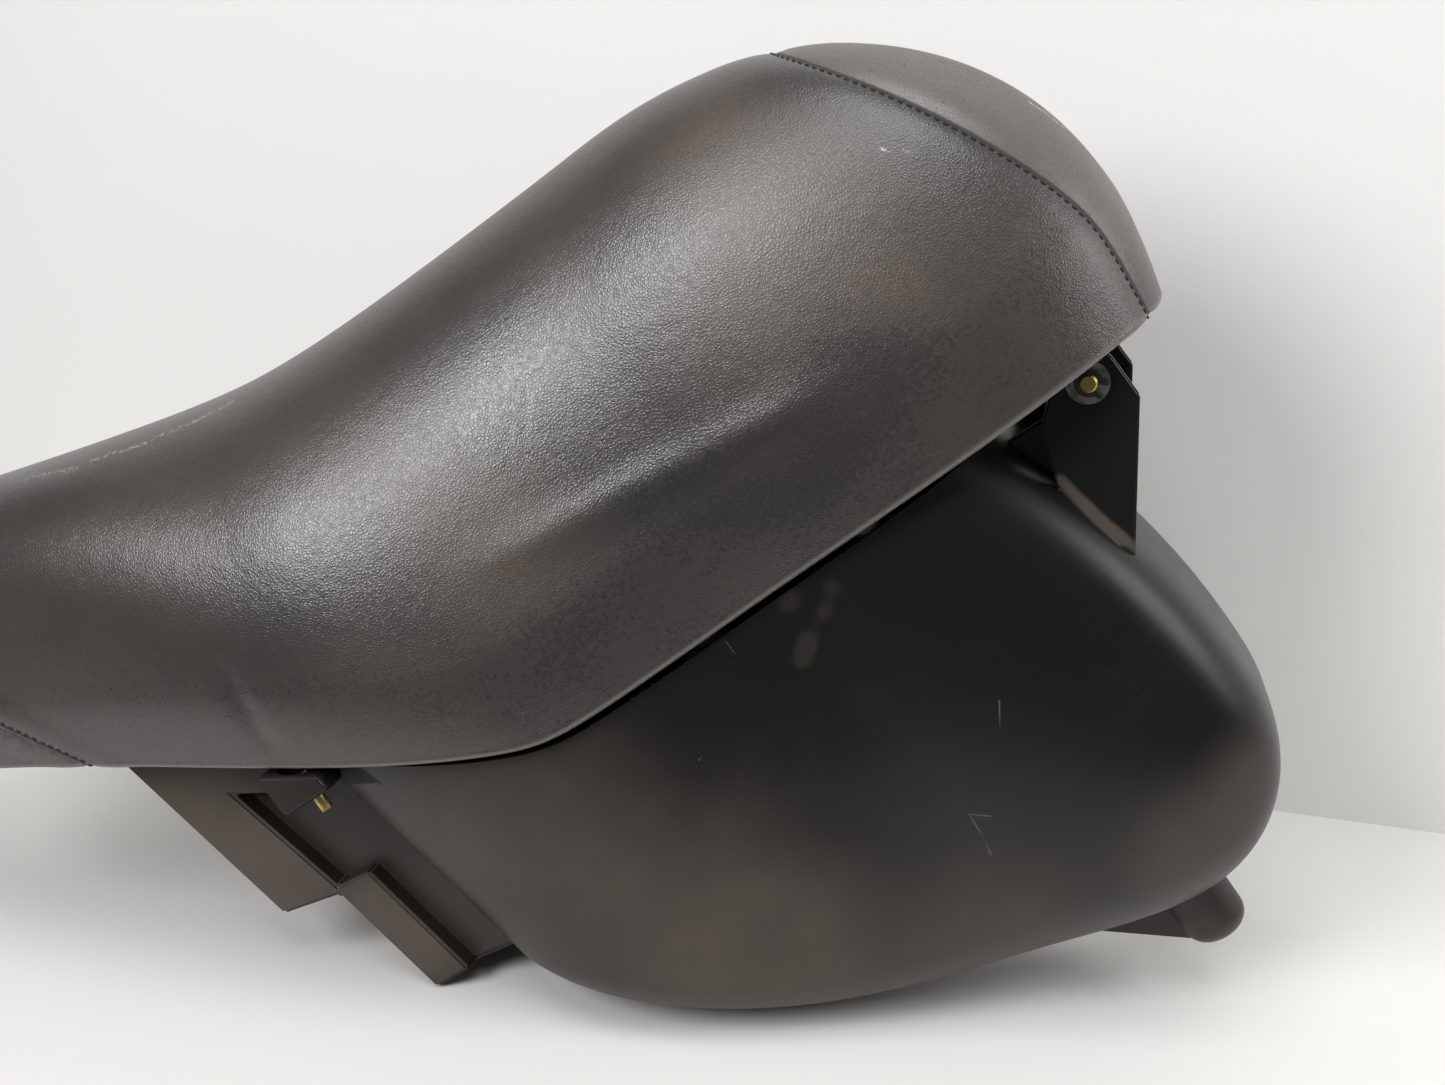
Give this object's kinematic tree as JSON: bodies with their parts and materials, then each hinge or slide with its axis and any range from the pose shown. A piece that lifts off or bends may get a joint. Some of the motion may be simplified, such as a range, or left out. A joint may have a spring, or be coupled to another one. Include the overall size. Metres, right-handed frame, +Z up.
{
  "type": "scooter seat",
  "caption": "Two-up scooter seat in grey-brown grained vinyl, hinged at its nose on a steel pin to the black moulded under-seat storage tub that it closes",
  "frame": {"origin": "middle of the hinge pin, between the two hinge ears", "axes": "as installed on a scooter: +X to the front of the scooter, +Y to the rider's left, +Z up"},
  "size_m": [0.683, 0.2712, 0.5518],
  "materials": {
    "vinyl": "dusty grained vinyl, worn dull",
    "foam": "open-cell polyurethane foam",
    "black_plastic": "moulded polypropylene, scratched and dusty",
    "rubber": "matt black rubber",
    "yellow_zinc": "yellow passivated zinc",
    "steel": "dull grey plated steel"
  },
  "bodies": {
    "tub": {"storage_tub": "black_plastic", "lug_left_bolt": "yellow_zinc", "lug_right_bolt": "yellow_zinc", "lug_left_washer": "yellow_zinc", "lug_right_washer": "yellow_zinc", "hinge_pin": "yellow_zinc", "hinge_washer_left": "steel", "hinge_washer_right": "steel", "hinge_circlip_left": "steel", "hinge_circlip_right": "steel"},
    "seat": {"foam_cushion": "foam", "cover_main": "vinyl", "cover_nose_panel": "vinyl", "cover_tail_panel": "vinyl", "seat_pan": "black_plastic", "hinge_bracket": "steel", "hinge_screw_1": "yellow_zinc", "hinge_screw_2": "yellow_zinc", "hinge_screw_3": "yellow_zinc", "hinge_screw_4": "yellow_zinc", "striker_screw_left": "yellow_zinc", "striker_screw_right": "yellow_zinc", "buffer_front_left": "rubber", "buffer_front_right": "rubber", "buffer_middle_left": "rubber", "buffer_middle_right": "rubber", "buffer_rear_left": "rubber", "buffer_rear_right": "rubber", "striker": "steel"}
  },
  "joints": [
    {"name": "seat_hinge", "type": "hinge", "parent": "tub", "child": "seat", "pos_m": [0, 0, 0], "axis": [0, 1, 0], "range_deg": [0, 75]}
  ]
}
